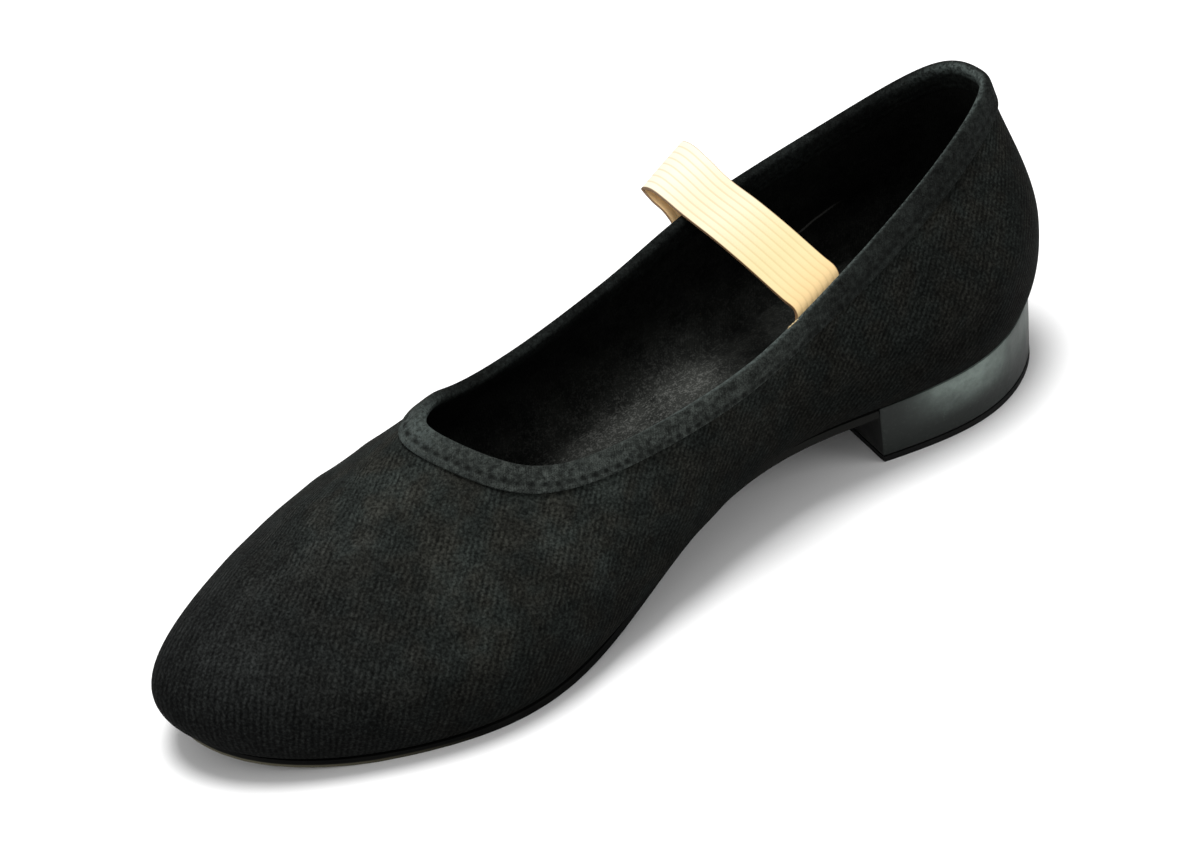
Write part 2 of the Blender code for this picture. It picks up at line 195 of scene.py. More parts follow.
def sharpLoops(piece, degrees):
    # closed lines of sharp edges, each as an array of points, taken in the mesh's own order
    mesh = bmesh.new()
    mesh.from_mesh(piece.data)
    edges = [e for e in mesh.edges if len(e.link_faces) == 2 and e.calc_face_angle() > radians(degrees)]
    loops = []
    while edges:
        edge = edges.pop(0)
        first, here = edge.verts
        line = [first.co.copy(), here.co.copy()]
        while here != first:
            following = [e for e in here.link_edges if e in edges]
            if not following:
                break
            edges.remove(following[0])
            here = following[0].other_vert(here)
            line.append(here.co.copy())
        loops.append(np.array(line))
    mesh.free()
    return loops


def splitLongEdges(piece, limit):
    mesh = bmesh.new()
    mesh.from_mesh(piece.data)
    for _ in range(6):
        tooLong = [e for e in mesh.edges if e.calc_length() > limit]
        if not tooLong:
            break
        bmesh.ops.subdivide_edges(mesh, edges=tooLong, cuts=1, use_grid_fill=True)
    mesh.to_mesh(piece.data)
    mesh.free()


def insetFaces(piece, rule, width):
    # a narrow border inside the faces that the rule picks by their normal
    pickOnly(piece)
    for face in piece.data.polygons:
        face.select = rule(face.normal)
    bpy.ops.object.mode_set(mode="EDIT")
    bpy.ops.mesh.select_mode(type="FACE")
    bpy.ops.mesh.inset(thickness=width, use_even_offset=True)
    bpy.ops.mesh.select_all(action="DESELECT")
    bpy.ops.object.mode_set(mode="OBJECT")


def pointsOf(piece):
    points = np.zeros(len(piece.data.vertices) * 3, np.float32)
    piece.data.vertices.foreach_get("co", points)
    return points.reshape(-1, 3).astype(float)


def normalsOf(piece):
    normals = np.zeros(len(piece.data.vertices) * 3, np.float32)
    piece.data.vertex_normals.foreach_get("vector", normals)
    return normals.reshape(-1, 3).astype(float)


def setPoints(piece, points):
    piece.data.vertices.foreach_set("co", points.astype(np.float32).ravel())
    piece.data.update()


def setAttribute(piece, name, values):
    layer = piece.data.attributes.get(name) or piece.data.attributes.new(name, "FLOAT", "POINT")
    layer.data.foreach_set("value", np.asarray(values, np.float32))


def nearestOnLine(points, line):
    # distance from each point to a line, and how far along the line that is
    start, end = line[:-1], line[1:]
    step = end - start
    length = np.linalg.norm(step, axis=1)
    before = np.concatenate([[0.0], np.cumsum(length)[:-1]])
    distance = np.full(len(points), np.inf)
    run = np.zeros(len(points))
    for a, d, size, past in zip(start, step, length, before):
        share = np.clip((points - a) @ d / max(size * size, 1e-12), 0, 1)
        gap = np.linalg.norm(points - a - share[:, None] * d, axis=1)
        closer = gap < distance
        distance[closer] = gap[closer]
        run[closer] = past + share[closer] * size
    return distance, run


def smoothStep(low, high, values):
    share = np.clip((values - low) / (high - low), 0, 1)
    return share * share * (3 - 2 * share)


def surfaceOf(piece):
    return BVHTree.FromObject(piece, bpy.context.evaluated_depsgraph_get())


def finishPiece(piece, nodeNames, materials, angle=40):
    for material in materials:
        if material.name not in piece.data.materials:
            piece.data.materials.append(material)
    pickOnly(piece)
    bpy.ops.object.shade_smooth_by_angle(angle=radians(angle))
    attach(piece, "root")
    if nodeNames:
        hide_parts(*nodeNames)
    print(piece.name, len(piece.data.polygons), "faces")


# Building of materials

work = {"tree": None}      # the node tree that is being built


def addNode(kind, **settings):
    node = work["tree"].nodes.new(kind)
    for name, value in settings.items():
        setattr(node, name, value)
    return node


def feed(socket, value):
    if isinstance(value, bpy.types.NodeSocket):
        work["tree"].links.new(value, socket)
    elif value is not None:
        socket.default_value = value


def maths(operation, *values, clamp=False):
    node = addNode("ShaderNodeMath", operation=operation, use_clamp=clamp)
    for socket, value in zip(node.inputs, values):
        feed(socket, value)
    return node.outputs[0]


def times(first, second):
    return maths("MULTIPLY", first, second)


def timesPlus(first, second, third, clamp=False):
    return maths("MULTIPLY_ADD", first, second, third, clamp=clamp)


def noise(vector, scale, detail=2.0, roughness=0.5):
    node = addNode("ShaderNodeTexNoise")
    feed(node.inputs["Vector"], vector)
    feed(node.inputs["Scale"], scale)
    node.inputs["Detail"].default_value = detail
    node.inputs["Roughness"].default_value = roughness
    return node.outputs[0]


def between(value, low, high):
    # 0 at low and 1 at high, smooth in the middle; low may be the larger one
    node = addNode("ShaderNodeMapRange", interpolation_type="SMOOTHSTEP")
    feed(node.inputs["Value"], value)
    feed(node.inputs["From Min"], low)
    feed(node.inputs["From Max"], high)
    return node.outputs["Result"]


def blendColours(share, first, second, mode="MIX"):
    node = addNode("ShaderNodeMix", data_type="RGBA", blend_type=mode)
    feed(node.inputs[0], share)
    feed(node.inputs[6], first if isinstance(first, bpy.types.NodeSocket) else (*first, 1.0))
    feed(node.inputs[7], second if isinstance(second, bpy.types.NodeSocket) else (*second, 1.0))
    return node.outputs[2]


def scaled(vector, factor):
    node = addNode("ShaderNodeVectorMath", operation="SCALE")
    feed(node.inputs["Vector"], vector)
    feed(node.inputs["Scale"], factor)
    return node.outputs[0]


def bump(height, distance):
    node = addNode("ShaderNodeBump")
    node.inputs["Strength"].default_value = 1.0
    node.inputs["Distance"].default_value = distance
    feed(node.inputs["Height"], height)
    return node.outputs["Normal"]


def axesOf(place):
    node = addNode("ShaderNodeSeparateXYZ")
    feed(node.inputs[0], place)
    return node.outputs


def attribute(name):
    return addNode("ShaderNodeAttribute", attribute_name=name).outputs["Fac"]


def newGroup(name, inputs, outputs):
    # sockets by name; all are floats but the vector and the colour
    kinds = {"Vector": "NodeSocketVector", "Colour": "NodeSocketColor"}
    tree = bpy.data.node_groups.new(name, "ShaderNodeTree")
    work["tree"] = tree
    for label, value in inputs.items():
        kind = kinds.get(label, "NodeSocketFloat")
        socket = tree.interface.new_socket(label, in_out="INPUT", socket_type=kind)
        if value is not None:
            socket.default_value = value
    for label in outputs:
        kind = kinds.get(label, "NodeSocketFloat")
        tree.interface.new_socket(label, in_out="OUTPUT", socket_type=kind)
    return tree, addNode("NodeGroupInput").outputs, addNode("NodeGroupOutput").inputs


def useGroup(group, **values):
    node = addNode("ShaderNodeGroup", node_tree=group)
    for name, value in values.items():
        feed(node.inputs[name], value)
    return node.outputs


def newMaterial(name, roughness, sheen=0.0, coat=0.0, coatRoughness=0.2, specular=0.5):
    material = bpy.data.materials.new(name)
    material.use_nodes = True
    shader = material.node_tree.nodes["Principled BSDF"]
    shader.inputs["Roughness"].default_value = roughness
    shader.inputs["Sheen Weight"].default_value = sheen
    shader.inputs["Coat Weight"].default_value = coat
    shader.inputs["Coat Roughness"].default_value = coatRoughness
    shader.inputs["Specular IOR Level"].default_value = specular
    work["tree"] = material.node_tree
    place = addNode("ShaderNodeTexCoord").outputs["Object"]
    return material, shader.inputs, place


def makeTwillGroup():
    # slanted ribs of a twill, broken into floats, with yarns that vary
    tree, given, out = newGroup(
        "twillRibs",
        {"Vector": None, "Pitch": 1.2 * mm, "Slant": 1.0, "Waver": 0.25, "WornDown": 0.5},
        ["Height", "Rib", "Fleck"],
    )
    turned = addNode("ShaderNodeVectorRotate", rotation_type="Z_AXIS")
    feed(turned.inputs["Vector"], given["Vector"])
    feed(turned.inputs["Angle"], given["Slant"])
    inPitches = scaled(turned.outputs[0], maths("DIVIDE", 1.0, given["Pitch"]))
    axes = axesOf(inPitches)
    wander = maths("SUBTRACT", noise(inPitches, 0.35, 2.0), 0.5)
    across = timesPlus(wander, given["Waver"], axes["X"])
    wave = maths("SINE", times(across, 2 * pi))
    rib = timesPlus(wave, 0.5, 0.5)
    row = maths("FLOOR", maths("ADD", across, 0.25))
    floatPlace = timesPlus(axes["Y"], 1.9, times(row, 0.38))
    floatWave = maths("SINE", times(floatPlace, 2 * pi))
    floats = timesPlus(floatWave, 0.16, 0.84)
    yarn = noise(inPitches, 1.8, 4.0, 0.7)
    # the nap hides the ribs here and there
    shown = between(noise(inPitches, 0.22, 3.0, 0.6), 0.30, 0.68)
    shown = timesPlus(shown, times(given["WornDown"], -1.0), 1.0)
    bare = times(maths("SUBTRACT", rib, 0.5), shown)
    height = times(maths("ADD", bare, 0.5), floats)
    feed(out["Height"], timesPlus(yarn, 1.3, height))
    feed(out["Rib"], height)
    feed(out["Fleck"], between(yarn, 0.30, 0.70))
    return tree


def makeDustGroup():
    # pale dust and wear in soft patches, with fine specks
    tree, given, out = newGroup(
        "softDust",
        {"Vector": None, "Patch": 45.0, "Speck": 1800.0},
        ["Patches", "Specks", "Tint"],
    )
    wide = noise(given["Vector"], given["Patch"], 3.0, 0.55)
    feed(out["Patches"], between(wide, 0.40, 0.68))
    fine = noise(given["Vector"], given["Speck"], 2.0, 0.6)
    feed(out["Specks"], between(fine, 0.52, 0.74))
    shifted = addNode("ShaderNodeVectorMath", operation="ADD")
    feed(shifted.inputs[0], given["Vector"])
    shifted.inputs[1].default_value = (3.1, 1.7, 0.4)
    tint = noise(shifted.outputs[0], times(given["Patch"], 2.2), 2.0)
    feed(out["Tint"], between(tint, 0.35, 0.65))
    return tree


def makeGrainGroup():
    # fine pebbled grain of rubber and lacquer
    tree, given, out = newGroup("fineGrain", {"Vector": None, "Size": 1400.0}, ["Height"])
    cells = addNode("ShaderNodeTexVoronoi", feature="SMOOTH_F1")
    feed(cells.inputs["Vector"], given["Vector"])
    feed(cells.inputs["Scale"], given["Size"])
    fine = noise(given["Vector"], given["Size"], 3.0, 0.6)
    feed(out["Height"], timesPlus(fine, 0.6, cells.outputs["Distance"]))
    return tree


# Speckled backing that the lining and the insole share

sock = {
    "colour": (0.0200, 0.0212, 0.0192),
    "dark": (0.0095, 0.0103, 0.0096),
    "rubbed": (0.0330, 0.0345, 0.0315),
    "pale": (0.1500, 0.1540, 0.1430),
    "fleckShare": (0.46, 0.12),    # gain of the flecks in the painted light band, and their share elsewhere
    "rubbedFrom": (-0.032, -0.0118, 0.0170),    # the line of the painted light band, in metres
    "rubbedTo": (0.004, -0.0170, 0.0108),
    "rubbedWidth": 7.5 * mm,
}


def makeSpeckleGroup():
    # black knit with pale flecks, painted lighter with more flecks along a band where the inside is lit
    tree, given, out = newGroup("sockSpeckle", {"Vector": None, "Rubbed": 0.0}, ["Colour", "Height"])
    flecks = noise(given["Vector"], 2100.0, 1.0, 0.60)
    clumps = noise(given["Vector"], 620.0, 3.0, 0.75)
    flecks = timesPlus(clumps, 0.50, times(flecks, 0.50))
    clouds = noise(given["Vector"], 130.0, 4.0, 0.6)
    ground = blendColours(between(clouds, 0.35, 0.65), sock["dark"], sock["colour"])
    rubbed = times(given["Rubbed"], between(clouds, 0.20, 0.60))
    ground = blendColours(rubbed, ground, sock["rubbed"])
    shine = timesPlus(given["Rubbed"], *sock["fleckShare"])
    shine = times(between(flecks, 0.45, 0.66), shine)
    feed(out["Colour"], blendColours(shine, ground, sock["pale"]))
    feed(out["Height"], flecks)
    return tree


def rubbedShare(points):
    line = np.array([sock["rubbedFrom"], sock["rubbedTo"]])
    distance, _ = nearestOnLine(points, line)
    return np.exp(-(distance / sock["rubbedWidth"])**2)


twillRibs = makeTwillGroup()
softDust = makeDustGroup()
fineGrain = makeGrainGroup()
sockSpeckle = makeSpeckleGroup()
print("shared effects built")


# Canvas of the upper, with its lining inside

canvas = {
    "ribPitch": 1.25 * mm,
    "ribSlant": 152.0,         # degrees, against the shoe's middle line on the flat pattern
    "ribDepth": 0.11 * mm,
    "valley": (0.0040, 0.0043, 0.0040),
    "rib": (0.0150, 0.0165, 0.0148),
    "dust": (0.0800, 0.0830, 0.0780),
    "warmTint": (1.05, 0.99, 0.92),
    "coolTint": (0.93, 1.02, 1.02),
    "toeTint": (0.99, 0.99, 1.06),
    # spots where the vamp is palest, and how far round each reaches, in metres
    "wornSpots": [(0.0587, 0.0143, 0.0450, 0.014), (0.0793, 0.0080, 0.0385, 0.012),
                  (0.1013, 0.0050, 0.0301, 0.014)],
    "spotGain": 0.22,
    "vampSpan": (-12 * mm, 28 * mm),    # the vamp fades in along the shoe, from none to full
    "toeSpan": (55 * mm, 105 * mm),
    "toeLoss": 0.35,
    "innerSpan": (0, 26 * mm),
    "innerLoss": 0.35,
    "tapeWidth": 6 * mm,       # below the tape the cloth is paler again
    "tapeReach": 12 * mm,
    "tapeGain": 0.45,
    "soleSpan": (1 * mm, 26 * mm),
    "tintSpan": (50 * mm, 115 * mm),
    # gain and start of what wear and painted light, patches and nap do to the ribs and to the black
    "ribsWorn": (0.50, 0.30),
    "wornFade": (0.60, 0.52),
    "patchFade": (0.50, 0.16),
    "blotchFade": (0.36, 0.82),
    "napFade": (1.00, 0.50),
    "ribShare": 0.66,
    "seamWidth": 1.1 * mm,     # groove of the back seam
    "collarRest": (9 * mm, 22 * mm),    # no fold reaches the collar or the sole
    "soleRest": (3 * mm, 12 * mm),
    "liningWeave": 0.55 * mm,
    "liningShade": (5 * mm, 20 * mm),
    "crease": (0.1300, 0.1300, 0.1240),
    "creaseSlope": -0.256,     # rise of the lining's crease toward the toe
    "creaseHeight": 15.2 * mm,    # height of its line at the middle of the shoe
    "creaseWidth": (0.55 * mm, 0.10 * mm),
    # its ends: axis, where it is gone and where it is full
    "creaseEnds": [("X", -90 * mm, -84 * mm), ("X", -73 * mm, -78 * mm), ("Y", -10 * mm, -16 * mm)],
}

# soft folds: kind, side, start and end as shares of length and of height or half width,
# width and depth in millimetres
folds = [
    ("side", 1, (0.50, 0.20), (0.60, 0.44), 5.0, 0.63),
    ("side", 1, (0.56, 0.14), (0.67, 0.38), 4.5, 0.56),
    ("side", 1, (0.30, 0.34), (0.42, 0.52), 5.0, 0.56),
    ("side", 1, (0.14, 0.42), (0.30, 0.40), 4.0, 0.49),
    ("side", 1, (0.10, 0.62), (0.24, 0.54), 4.5, 0.49),
    ("side", -1, (0.52, 0.20), (0.62, 0.42), 5.0, 0.70),
    ("side", -1, (0.30, 0.36), (0.44, 0.52), 5.0, 0.63),
    ("side", -1, (0.12, 0.56), (0.28, 0.48), 4.5, 0.56),
    ("top", 1, (0.73, -0.52), (0.76, 0.02), 4.0, 0.49),
    ("top", 1, (0.77, -0.30), (0.78, 0.48), 4.5, 0.49),
    ("top", 1, (0.83, -0.40), (0.86, 0.22), 5.0, 0.42),
    ("top", 1, (0.70, 0.50), (0.76, 0.78), 4.5, 0.42),
]


def foldDepth(points, outward):
    low, size = np.array(cadBox[0]), np.array(cadBox[1] - cadBox[0])
    depth = np.zeros(len(points))
    for kind, side, start, end, width, deep in folds:
        if kind == "side":
            plane = points[:, [0, 2]]
            facing = np.clip(outward[:, 1] * side, 0, 1)
            ends = [np.array([low[0] + a * size[0], b * size[2]]) for a, b in (start, end)]
        else:
            plane = points[:, [0, 1]]
            facing = np.clip(outward[:, 2], 0, 1)
            ends = [np.array([low[0] + a * size[0], b * size[1] / 2]) for a, b in (start, end)]
        distance, _ = nearestOnLine(plane, np.array(ends))
        share = distance / (width * mm)
        trough = np.exp(-share**2) - 0.35 * np.exp(-((share - 1.7) / 0.8)**2)
        depth += facing * deep * mm * trough
    return depth


def markCanvasFaces(piece):
    # material 0 on the outer face and the rims, 1 on the lining
    mesh = bmesh.new()
    mesh.from_mesh(piece.data)
    mesh.faces.ensure_lookup_table()
    middle = Vector((shoeMiddle.x, shoeMiddle.y, 0))
    seed = max(mesh.faces, key=lambda face: face.calc_center_median().y)
    outer, rest = {seed}, [seed]
    while rest:
        face = rest.pop()
        for edge in face.edges:
            for other in edge.link_faces:
                if other not in outer and edge.calc_face_angle() < radians(50):
                    outer.add(other)
                    rest.append(other)
    rims = {face for face in mesh.faces if face not in outer
            and any(other in outer for edge in face.edges for other in edge.link_faces)}
    for face in mesh.faces:
        face.material_index = 0 if face in outer or face in rims else 1
        face.select = face in outer
    # the back seam runs down from the highest point of the back, close to the middle
    backLine = []
    highest = max((v for f in outer for v in f.verts if v.co.x < middle.x - 0.4 * shoeLength),
                  key=lambda v: v.co.z - 8 * abs(v.co.y - middle.y) - 2 * v.co.x)
    here = highest
    while True:
        lower = [e for e in here.link_edges if e.other_vert(here).co.z < here.co.z - 0.5 * mm
                 and all(face in outer for face in e.link_faces)]
        if not lower:
            break
        edge = min(lower, key=lambda e: abs(e.other_vert(here).co.y - here.co.y))
        backLine.append(edge)
        here = edge.other_vert(here)
    for edge in mesh.edges:
        edge.seam = edge in backLine or sum(face in outer for face in edge.link_faces) == 1
    mesh.to_mesh(piece.data)
    mesh.free()


def flattenPattern(piece):
    # the outer face laid flat like the cut cloth, in metres, its middle line along V
    pickOnly(piece)
    piece.data.uv_layers.new(name="cloth")
    bpy.ops.object.mode_set(mode="EDIT")
    bpy.ops.mesh.select_mode(type="FACE")
    bpy.ops.uv.unwrap(method="ANGLE_BASED", margin=0.0)
    bpy.ops.object.mode_set(mode="OBJECT")
    layer = piece.data.uv_layers["cloth"].data
    flat = np.zeros(len(layer) * 2, np.float32)
    layer.foreach_get("uv", flat)
    flat = flat.reshape(-1, 2).astype(float)
    points = pointsOf(piece)
    solidArea, flatArea, toe, instep = 0.0, 0.0, None, None
    for face in piece.data.polygons:
        if not face.select:
            continue
        corners = flat[list(face.loop_indices)]
        x, y = corners[:, 0], corners[:, 1]
        flatArea += abs(np.dot(x, np.roll(y, -1)) - np.dot(y, np.roll(x, -1))) / 2
        solidArea += face.area
        for loop in face.loop_indices:
            point = points[piece.data.loops[loop].vertex_index]
            offMiddle = abs(point[1] - shoeMiddle.y)
            if toe is None or point[0] > toe[0]:
                toe = (point[0], flat[loop])
            score = point[2] - 3 * offMiddle
            if point[0] > 0.3 * shoeLength / 2 and (instep is None or score > instep[0]):
                instep = (score, flat[loop])
    scale = (solidArea / flatArea) ** 0.5
    forward = toe[1] - instep[1]
    turn = pi / 2 - np.arctan2(forward[1], forward[0])
    spin = np.array([[np.cos(turn), -np.sin(turn)], [np.sin(turn), np.cos(turn)]])
    flat = (flat - instep[1]) @ spin.T * scale
    layer.foreach_set("uv", flat.astype(np.float32).ravel())
    print("cloth laid flat, scale", round(scale, 4))


def canvasMaterial():
    material, shader, place = newMaterial("blackCanvas", roughness=0.95, specular=0.03)
    cloth = addNode("ShaderNodeUVMap", uv_map="cloth").outputs[0]
    worn = attribute("worn")
    wornDown = timesPlus(worn, *canvas["ribsWorn"])
    weave = useGroup(twillRibs, Vector=cloth, Pitch=canvas["ribPitch"],
                     Slant=radians(canvas["ribSlant"]), Waver=0.55, WornDown=wornDown)
    dust = useGroup(softDust, Vector=place, Patch=62.0, Speck=1500.0)
    tint = blendColours(dust["Tint"], canvas["warmTint"], canvas["coolTint"])
    axes = axesOf(place)
    tint = blendColours(between(axes["X"], *canvas["tintSpan"]), tint, canvas["toeTint"])
    flecks = times(weave["Fleck"], 1 - canvas["ribShare"])
    yarns = timesPlus(weave["Rib"], canvas["ribShare"], flecks)
    colour = blendColours(yarns, canvas["valley"], canvas["rib"])
    colour = blendColours(1.0, colour, tint, "MULTIPLY")
    # the black is paler where the mask of wear and painted light is high, and in soft patches
    fadedPatch = times(dust["Patches"], timesPlus(worn, *canvas["patchFade"]))
    fade = maths("ADD", timesPlus(worn, *canvas["wornFade"]), fadedPatch)
    blotch = between(noise(place, 240.0, 4.0, 0.62), 0.34, 0.66)
    fade = times(fade, timesPlus(blotch, *canvas["blotchFade"]))
    nap = between(noise(place, 1500.0, 3.0, 0.65), 0.34, 0.66)
    fade = times(fade, timesPlus(nap, *canvas["napFade"]))
    colour = scaled(colour, fade)
    colour = blendColours(times(dust["Specks"], 0.05), colour, canvas["dust"])
    seam = between(attribute("fromBackSeam"), canvas["seamWidth"], 0.0)
    colour = scaled(colour, timesPlus(seam, -0.6, 1.0))
    feed(shader["Base Color"], colour)
    feed(shader["Roughness"], timesPlus(weave["Rib"], -0.10, 0.95))
    height = timesPlus(seam, -4.0, weave["Height"])
    feed(shader["Normal"], bump(height, canvas["ribDepth"]))
    return material


def liningMaterial():
    material, shader, place = newMaterial("blackLining", roughness=0.95, specular=0.05)
    speckle = useGroup(sockSpeckle, Vector=place, Rubbed=attribute("rubbed"))
    low = attribute("lowLining")
    # painted shade: the lining is darker higher up its wall, away from the insole
    shade = timesPlus(low, 0.72, 0.28)
    colour = scaled(speckle["Colour"], shade)
    # painted highlight: a pale line along a faint crease on the inner side, behind the strap
    axes = axesOf(place)
    wander = times(noise(place, 60.0), 3.0 * mm)
    level = timesPlus(axes["X"], canvas["creaseSlope"], canvas["creaseHeight"])
    offCrease = maths("SUBTRACT", maths("ADD", axes["Z"], wander), level)
    line = between(maths("ABSOLUTE", offCrease), *canvas["creaseWidth"])
    for axis, gone, full in canvas["creaseEnds"]:
        line = times(line, between(axes[axis], gone, full))
    colour = blendColours(times(line, 0.75), colour, canvas["crease"])
    feed(shader["Base Color"], colour)
    weave = useGroup(twillRibs, Vector=place, Pitch=canvas["liningWeave"], Slant=radians(40.0))
    feed(shader["Normal"], bump(weave["Height"], distance=0.08 * mm))
    return material


def makeCanvas():
    piece = copyOfNode("upper", "upperCanvas")
    markCanvasFaces(piece)
    flattenPattern(piece)
    creaseSharpEdges(piece, degrees=50, amount=0.8)
    rims = sorted(sharpLoops(piece, degrees=50), key=lambda line: line[:, 2].mean())
    smoothOut(piece, levels=2)
    points, outward = pointsOf(piece), normalsOf(piece)
    inner = np.zeros(len(points), bool)
    outer = np.zeros(len(points), bool)
    for face in piece.data.polygons:
        (inner if face.material_index else outer)[list(face.vertices)] = True
    outward[inner & ~outer] *= -1
    collar = max(rims[2:], key=len)
    low = min(rims[:2], key=len)
    fromCollar, _ = nearestOnLine(points, collar)
    fromSole, _ = nearestOnLine(points, low)
    free = smoothStep(*canvas["collarRest"], fromCollar) * smoothStep(*canvas["soleRest"], fromSole)
    depth = foldDepth(points, outward) * free
    setPoints(piece, points - outward * depth[:, None])
    # wear and painted light: the vamp is paler, more where it faces up, less towards the toe; painted shade on
    # the inner side and towards the sole
    vamp = smoothStep(*canvas["vampSpan"], points[:, 0]) * (0.5 + 0.5 * np.clip(outward[:, 2], 0, 1))
    vamp *= 1 - canvas["toeLoss"] * smoothStep(*canvas["toeSpan"], points[:, 0])
    # painted shade: the vamp is darker on its inner side
    vamp *= 1 - canvas["innerLoss"] * smoothStep(*canvas["innerSpan"], shoeMiddle.y - points[:, 1])
    for x, y, z, reach in canvas["wornSpots"]:
        offSpot = np.linalg.norm(points - np.array((x, y, z)), axis=1)
        vamp += canvas["spotGain"] * np.exp(-(offSpot / reach)**2)
    pastTape = np.clip(fromCollar - canvas["tapeWidth"], 0, None)
    belowTape = canvas["tapeGain"] * np.exp(-pastTape / canvas["tapeReach"])
    # painted shade: the cloth is darker towards the sole
    offSole = smoothStep(*canvas["soleSpan"], fromSole)
    worn = (vamp + belowTape) * (0.10 + 0.90 * offSole) - 0.35 * (1 - offSole)
    setAttribute(piece, "worn", np.clip(worn, -0.3, 1.3))
    setAttribute(piece, "rubbed", rubbedShare(points))
    setAttribute(piece, "lowLining", 1 - smoothStep(*canvas["liningShade"], fromSole))
    offSeam = np.where(points[:, 0] < -0.4 * shoeLength, np.abs(points[:, 1] - shoeMiddle.y), 1.0)
    setAttribute(piece, "fromBackSeam", offSeam)
    finishPiece(piece, ["upper"], [canvasMaterial(), liningMaterial()], angle=60)
    return collar


collarLine = makeCanvas()
print("upper made")


# Tape bound over the collar, with its row of stitches

binding = {
    "colour": (0.0175, 0.0200, 0.0182),
    "worn": (0.0740, 0.0900, 0.0850),
    "shade": (0.0036, 0.0042, 0.0038),
    "tapeRibs": 0.55 * mm,
    "ribShare": 0.30,
    # gain and start of what the mottle, the place, the fold and the fray do to the colour
    "mottle": (1.20, 0.35),
    "mouthGain": (1.70, 0.45),
    "crownGain": (0.88, 0.02),
    "fray": (1.20, 0.30),
    "crownSpan": (1.8 * mm, 0.7 * mm),
    "outerSpan": (-16 * mm, 4 * mm),
    "mouthSpan": (-62 * mm, -12 * mm),
    "grooveSpan": (0.8 * mm, 0.1 * mm),
    "wornCorner": (0.0455, 0.0010, 0.0545),   # where the foot has chafed the throat, in metres
    "wornReach": 9 * mm,
    "stitchDepth": 4.2 * mm,      # below the collar's edge
    "stitchPitch": 2.6 * mm,
    "stitchLength": 1.9 * mm,
    "threadRadius": 0.17 * mm,
    "threadLift": 0.02 * mm,
    "legOffset": 1.2 * mm,        # from the collar's line out to the tape's outer leg
    "searchStep": 0.3 * mm,
    "thread": (0.0130, 0.0140, 0.0140),
}


def bindingMaterial():
    material, shader, place = newMaterial("foldedTape", roughness=0.9, specular=0.05)
    depth = attribute("fromCollar")
    run = attribute("alongCollar")
    weave = useGroup(twillRibs, Vector=place, Pitch=binding["tapeRibs"],
                     Slant=radians(35.0), Waver=0.4, WornDown=0.6)
    dust = useGroup(softDust, Vector=place, Patch=70.0, Speck=1500.0)
    flecks = times(weave["Fleck"], 1 - binding["ribShare"])
    ground = timesPlus(weave["Rib"], binding["ribShare"], flecks)
    colour = blendColours(ground, binding["shade"], binding["colour"])
    mottle = between(noise(place, 640.0, 5.0, 0.75), 0.34, 0.66)
    colour = scaled(colour, timesPlus(mottle, *binding["mottle"]))
    # painted light: the tape is painted brighter on the outer side, most beside the mouth, with a painted
    # highlight on the fold's crown there; the throat's corner is worn pale
    crown = between(depth, *binding["crownSpan"])
    axes = axesOf(place)
    outerSide = between(axes["Y"], *binding["outerSpan"])
    besideMouth = between(axes["X"], *binding["mouthSpan"])
    facing = times(outerSide, timesPlus(besideMouth, *binding["mouthGain"]))
    colour = scaled(colour, maths("ADD", facing, 0.30))
    crown = times(crown, timesPlus(outerSide, *binding["crownGain"]))
    wear = timesPlus(dust["Patches"], 0.07, crown)
    wear = timesPlus(attribute("wornCorner"), 0.50, wear)
    fray = between(noise(place, 1100.0, 4.0, 0.7), 0.38, 0.62)
    wear = times(wear, timesPlus(fray, *binding["fray"]))
    wear = timesPlus(dust["Specks"], 0.08, wear, clamp=True)
    colour = blendColours(wear, colour, binding["worn"])
    # the tape dips along the seam, most at each needle hole, and painted shade darkens it there
    offSeam = maths("ABSOLUTE", maths("SUBTRACT", depth, binding["stitchDepth"]))
    groove = between(offSeam, *binding["grooveSpan"])
    pull = maths("COSINE", times(run, 2 * pi / binding["stitchPitch"]))
    dip = times(groove, timesPlus(pull, 0.40, 0.60))
    colour = blendColours(times(dip, 0.85), colour, binding["shade"])
    feed(shader["Base Color"], colour)
    height = timesPlus(dip, -4.0, weave["Height"])
    height = timesPlus(mottle, 2.4, height)
    feed(shader["Normal"], bump(height, distance=0.09 * mm))
    return material


def makeBinding():
    piece = copyOfNode("topline_binding", "collarBinding")
    creaseSharpEdges(piece, degrees=60, amount=0.35)
    smoothOut(piece, levels=2)
    points = pointsOf(piece)
    fromCollar, alongCollar = nearestOnLine(points, collarLine)
    setAttribute(piece, "fromCollar", fromCollar)
    setAttribute(piece, "alongCollar", alongCollar)
    fromCorner = np.linalg.norm(points - np.array(binding["wornCorner"]), axis=1)
    setAttribute(piece, "wornCorner", np.exp(-(fromCorner / binding["wornReach"])**2))
    finishPiece(piece, ["topline_binding"], [bindingMaterial()], angle=60)
    return piece


def threadMaterial(name, colour):
    material, shader, place = newMaterial(name, roughness=0.65, sheen=0.1)
    twist = addNode("ShaderNodeTexWave", wave_type="BANDS", bands_direction="DIAGONAL")
    feed(twist.inputs["Vector"], place)
    twist.inputs["Scale"].default_value = 900.0
    dark = tuple(part * 0.5 for part in colour)
    feed(shader["Base Color"], blendColours(twist.outputs["Fac"], dark, colour))
    feed(shader["Normal"], bump(twist.outputs["Fac"], distance=0.04 * mm))
    return material


